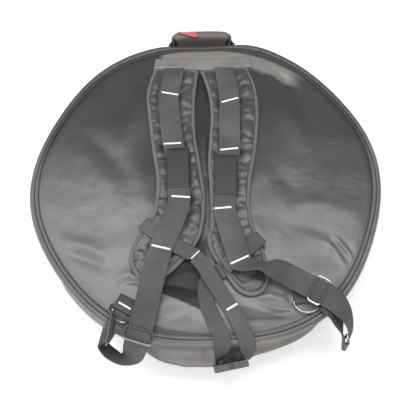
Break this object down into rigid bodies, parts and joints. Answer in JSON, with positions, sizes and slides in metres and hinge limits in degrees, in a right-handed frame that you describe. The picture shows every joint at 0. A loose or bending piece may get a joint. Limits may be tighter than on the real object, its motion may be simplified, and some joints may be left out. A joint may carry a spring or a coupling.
{
  "type": "cymbal bag",
  "caption": "Round padded carrying bag with a zipped cover, outside pocket, crossing backpack straps, chest buckle, ring fittings and a padded side handle.",
  "frame": {"origin": "centre of the round bag on the outside face of the pocket panel, which the bag lies on", "axes": "+Z through the bag's thickness from the pocket side to the strap side, +Y towards the carrying handle, +X to the right as the strap side is seen with the handle at the top"},
  "size_m": [0.6, 0.6829, 0.1218],
  "materials": {
    "bag_nylon": "satin woven nylon, charcoal grey",
    "piping_binding": "black bound piping and bias tape",
    "polyester_webbing": "dark grey woven webbing",
    "pad_mesh": "dark air mesh over foam",
    "patch_nylon": "smooth coated patch",
    "zip_coil": "moulded coil and tape, black",
    "ring_steel": "nickel plated wire",
    "black_acetal": "moulded acetal, satin black",
    "red_pull": "glossy translucent red moulding"
  },
  "bodies": {
    "bag_back": {"back_panel": "bag_nylon", "back_piping": "piping_binding", "gusset": "bag_nylon", "zip_tape_back": "zip_coil", "hinge_back": "piping_binding", "strap_yoke": "polyester_webbing", "d_ring_tab_left": "polyester_webbing", "d_ring_tab_right": "polyester_webbing", "handle_anchor_left": "polyester_webbing", "handle_anchor_right": "polyester_webbing", "tail_left": "polyester_webbing", "tail_right": "polyester_webbing"},
    "front_cover": {"front_panel": "bag_nylon", "pocket_panel": "bag_nylon", "front_facing": "bag_nylon", "pocket_zip_lower": "zip_coil", "pocket_zip_upper": "zip_coil", "front_piping": "piping_binding", "cover_strip": "bag_nylon", "zip_tape_front": "zip_coil", "hinge_front": "piping_binding"},
    "slider_left": {"zip_slider_left": "ring_steel"},
    "slider_right": {"zip_slider_right": "ring_steel"},
    "pull_left": {"zip_pull_left": "red_pull"},
    "pull_right": {"zip_pull_right": "red_pull"},
    "pocket_runner": {"pocket_slider": "ring_steel"},
    "pocket_tab": {"pocket_pull": "red_pull"},
    "straps": {"pad_left": "pad_mesh", "pad_right": "pad_mesh", "strap_left": "polyester_webbing", "strap_right": "polyester_webbing", "cross_left": "polyester_webbing", "cross_right": "polyester_webbing", "patch_left": "patch_nylon", "patch_right": "patch_nylon", "chest_left": "polyester_webbing", "chest_right": "polyester_webbing", "buckle_socket": "black_acetal"},
    "plug": {"buckle_plug": "black_acetal", "chest_loop": "polyester_webbing"},
    "ring_tab_left": {"d_ring_left": "ring_steel"},
    "ring_tab_right": {"d_ring_right": "ring_steel"},
    "ring_left": {"strap_ring_left": "ring_steel"},
    "ring_right": {"strap_ring_right": "ring_steel"},
    "bar_left": {"glide_left": "black_acetal"},
    "bar_right": {"glide_right": "black_acetal"},
    "link_left": {"handle_ring_left": "ring_steel"},
    "link_right": {"handle_ring_right": "ring_steel"},
    "handle": {"handle_webbing": "polyester_webbing", "handle_grip": "piping_binding", "red_pull": "red_pull", "red_pull_cord": "piping_binding"}
  },
  "joints": [
    {"name": "front_cover_hinge", "type": "hinge", "parent": "bag_back", "child": "front_cover", "pos_m": [0, -0.3005, 0.02], "axis": [-1, 0, 0], "range_deg": [0, 170]},
    {"name": "zip_run_left", "type": "hinge", "parent": "bag_back", "child": "slider_left", "pos_m": [0, 0, 0.02], "axis": [0, 0, 1], "range_deg": [0, 125]},
    {"name": "zip_run_right", "type": "hinge", "parent": "bag_back", "child": "slider_right", "pos_m": [0, 0, 0.02], "axis": [0, 0, 1], "range_deg": [-125, 0]},
    {"name": "zip_pull_turn_left", "type": "hinge", "parent": "slider_left", "child": "pull_left", "pos_m": [-0.01322, 0.30374, 0.02], "axis": [0, 0, -1], "range_deg": [0, 150]},
    {"name": "zip_pull_turn_right", "type": "hinge", "parent": "slider_right", "child": "pull_right", "pos_m": [0.01322, 0.30374, 0.02], "axis": [0, 0, 1], "range_deg": [0, 150]},
    {"name": "pocket_zip_run", "type": "slide", "parent": "front_cover", "child": "pocket_runner", "axis": [-1, 0, 0], "range_m": [0, 0.44]},
    {"name": "pocket_pull_turn", "type": "hinge", "parent": "pocket_runner", "child": "pocket_tab", "pos_m": [0.22454, 0.11, 0.0015], "axis": [0, -1, 0], "range_deg": [0, 150]},
    {"name": "straps_lift", "type": "hinge", "parent": "bag_back", "child": "straps", "pos_m": [0, 0.2271, 0.0843], "axis": [-1, 0, 0], "range_deg": [0, 12]},
    {"name": "buckle_release", "type": "slide", "parent": "straps", "child": "plug", "axis": [0.9848, 0.1736, 0], "range_m": [0, 0.028]},
    {"name": "d_ring_swing_left", "type": "hinge", "parent": "bag_back", "child": "ring_tab_left", "pos_m": [-0.1338, -0.2379, 0.0879], "axis": [0.8704, -0.4924, 0], "range_deg": [-3, 3]},
    {"name": "d_ring_swing_right", "type": "hinge", "parent": "bag_back", "child": "ring_tab_right", "pos_m": [0.147, -0.2292, 0.0879], "axis": [0.9903, 0.1392, 0], "range_deg": [-3, 3]},
    {"name": "strap_ring_swing_left", "type": "hinge", "parent": "bag_back", "child": "ring_left", "pos_m": [-0.1533, -0.26137, 0.08339], "axis": [-0.1903, -0.9314, -0.3105], "range_deg": [-12, 12]},
    {"name": "strap_ring_swing_right", "type": "hinge", "parent": "bag_back", "child": "ring_right", "pos_m": [0.1986, -0.2982, 0.0773], "axis": [0.0982, -0.0358, -0.9945], "range_deg": [-5, 4]},
    {"name": "glide_run_left", "type": "slide", "parent": "bag_back", "child": "bar_left", "axis": [0.2447, 0.9678, 0.0596], "range_m": [-0.002, 0.012]},
    {"name": "glide_run_right", "type": "slide", "parent": "bag_back", "child": "bar_right", "axis": [-0.85, 0.5267, 0.0107], "range_m": [-0.005, 0.01]},
    {"name": "handle_play", "type": "slide", "parent": "bag_back", "child": "handle", "axis": [1, 0, 0], "range_m": [-0.0015, 0.0015]},
    {"name": "handle_link_left", "type": "hinge", "parent": "bag_back", "child": "link_left", "pos_m": [-0.06836, 0.29611, 0.052], "axis": [0, 0, 1], "range_deg": [-7, 7]},
    {"name": "handle_link_right", "type": "hinge", "parent": "bag_back", "child": "link_right", "pos_m": [0.06836, 0.29611, 0.052], "axis": [0, 0, 1], "range_deg": [-7, 7]}
  ],
  "couplings": [
    {"joint": "handle_link_left", "follows": "handle_play", "rad_per_m": -68.97},
    {"joint": "handle_link_right", "follows": "handle_play", "rad_per_m": -68.97}
  ]
}
